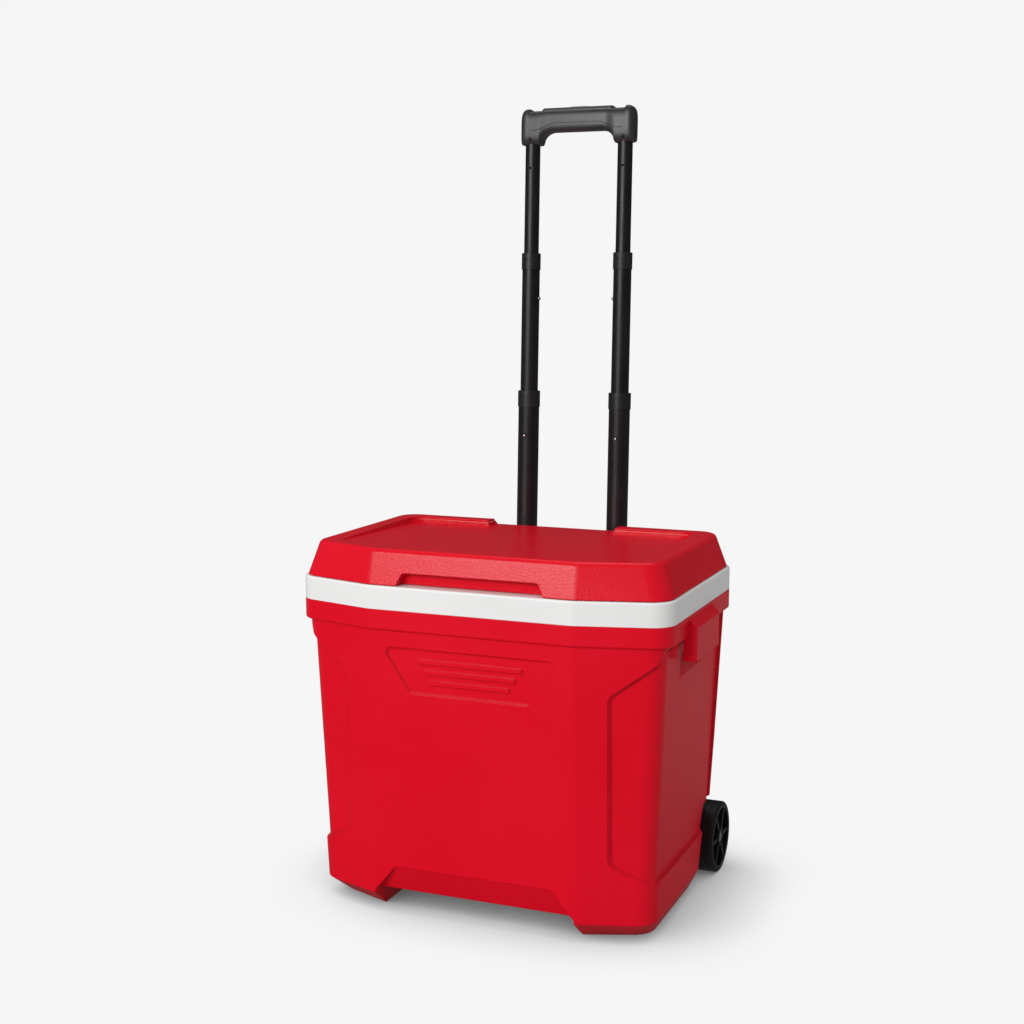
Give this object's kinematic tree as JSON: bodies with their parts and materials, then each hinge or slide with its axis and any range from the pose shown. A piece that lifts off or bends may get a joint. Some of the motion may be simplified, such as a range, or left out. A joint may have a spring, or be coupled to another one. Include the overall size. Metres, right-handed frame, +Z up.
{
  "type": "wheeled cooler",
  "caption": "Hard cooler on wheels: insulated box with a rim band and a hinged lid, moulded side handles and a telescoping pull handle at the rear.",
  "frame": {"origin": "centre of the whole object's footprint, on the floor, with the handle extended", "axes": "+X along the long front to the viewer's right facing the front, +Y from the front to the wheels and handle, +Z up"},
  "size_m": [0.5, 0.3947, 1.0077],
  "materials": {
    "red_shell": "satin moulded with a fine stipple",
    "red_lid": "satin moulded with a fine stipple",
    "white_liner": "satin",
    "foam": "closed-cell foam",
    "gasket": "matte",
    "black_plastic": "satin moulded",
    "black_tube": "satin powder coat",
    "grip_black": "satin moulded",
    "grey_button": "satin",
    "steel": "bright zinc",
    "screw_steel": "dark zinc",
    "cap_zinc": "bright zinc",
    "wheel_black": "satin moulded",
    "tyre_black": "matte"
  },
  "bodies": {
    "body": {"body_shell": "red_shell", "body_insulation": "foam", "liner": "white_liner", "hinge_body_leaf_left": "black_plastic", "hinge_body_leaf_right": "black_plastic", "hinge_body_screws": "screw_steel", "hinge_pin_left": "steel", "hinge_pin_right": "steel", "housing_left": "black_plastic", "housing_right": "black_plastic", "handle_bracket_upper": "black_plastic", "handle_bracket_lower": "black_plastic", "handle_bracket_screws": "screw_steel", "axle": "steel", "axle_caps": "cap_zinc", "axle_washers": "cap_zinc", "axle_bracket_left": "black_plastic", "axle_bracket_right": "black_plastic", "axle_bracket_screws": "screw_steel"},
    "lid": {"lid_shell": "red_lid", "lid_liner": "white_liner", "lid_insulation": "foam", "lid_gasket": "gasket", "hinge_lid_leaf_left": "black_plastic", "hinge_lid_leaf_right": "black_plastic", "hinge_lid_screws": "screw_steel"},
    "lower_stage": {"lower_tube_left": "black_tube", "lower_tube_right": "black_tube", "lower_collar_left": "black_plastic", "lower_collar_right": "black_plastic", "lower_latch_tabs": "black_plastic", "lower_guide_plugs": "black_plastic", "lower_lock_catches": "steel"},
    "middle_stage": {"middle_tube_left": "black_tube", "middle_tube_right": "black_tube", "upper_collar_left": "black_plastic", "upper_collar_right": "black_plastic", "upper_latch_tabs": "black_plastic", "middle_guide_plugs": "black_plastic", "upper_lock_catches": "steel"},
    "upper_stage": {"upper_tube_left": "black_tube", "upper_tube_right": "black_tube", "upper_guide_plugs": "black_plastic", "grip_lower": "grip_black", "grip_upper": "grip_black", "grip_screws": "screw_steel", "grip_tube_screws": "screw_steel", "spring_seat": "black_plastic", "button_spring": "steel"},
    "release": {"push_button": "grey_button", "release_bar": "steel"},
    "wheel_left": {"wheel_hub_left": "wheel_black", "tyre_left": "tyre_black"},
    "wheel_right": {"wheel_hub_right": "wheel_black", "tyre_right": "tyre_black"}
  },
  "joints": [
    {"name": "lid_hinge", "type": "hinge", "parent": "body", "child": "lid", "pos_m": [0, 0.122, 0.436], "axis": [-1, 0, 0], "range_deg": [0, 88]},
    {"name": "lower_slide", "type": "slide", "parent": "body", "child": "lower_stage", "axis": [0, 0.04, 0.9992], "range_m": [-0.1835, 0]},
    {"name": "middle_slide", "type": "slide", "parent": "lower_stage", "child": "middle_stage", "axis": [0, 0.04, 0.9992], "range_m": [-0.164, 0]},
    {"name": "upper_slide", "type": "slide", "parent": "middle_stage", "child": "upper_stage", "axis": [0, 0.04, 0.9992], "range_m": [-0.143, 0]},
    {"name": "button_push", "type": "slide", "parent": "upper_stage", "child": "release", "axis": [0, 0.04, 0.9992], "range_m": [-0.004, 0], "stiffness_N_per_m": 1500, "springref_m": 0.002, "deforming": ["button_spring"]},
    {"name": "wheel_left_spin", "type": "hinge", "parent": "body", "child": "wheel_left", "pos_m": [-0.213, 0.113, 0.0465], "axis": [1, 0, 0], "continuous": true},
    {"name": "wheel_right_spin", "type": "hinge", "parent": "body", "child": "wheel_right", "pos_m": [0.213, 0.113, 0.0465], "axis": [1, 0, 0], "continuous": true}
  ]
}
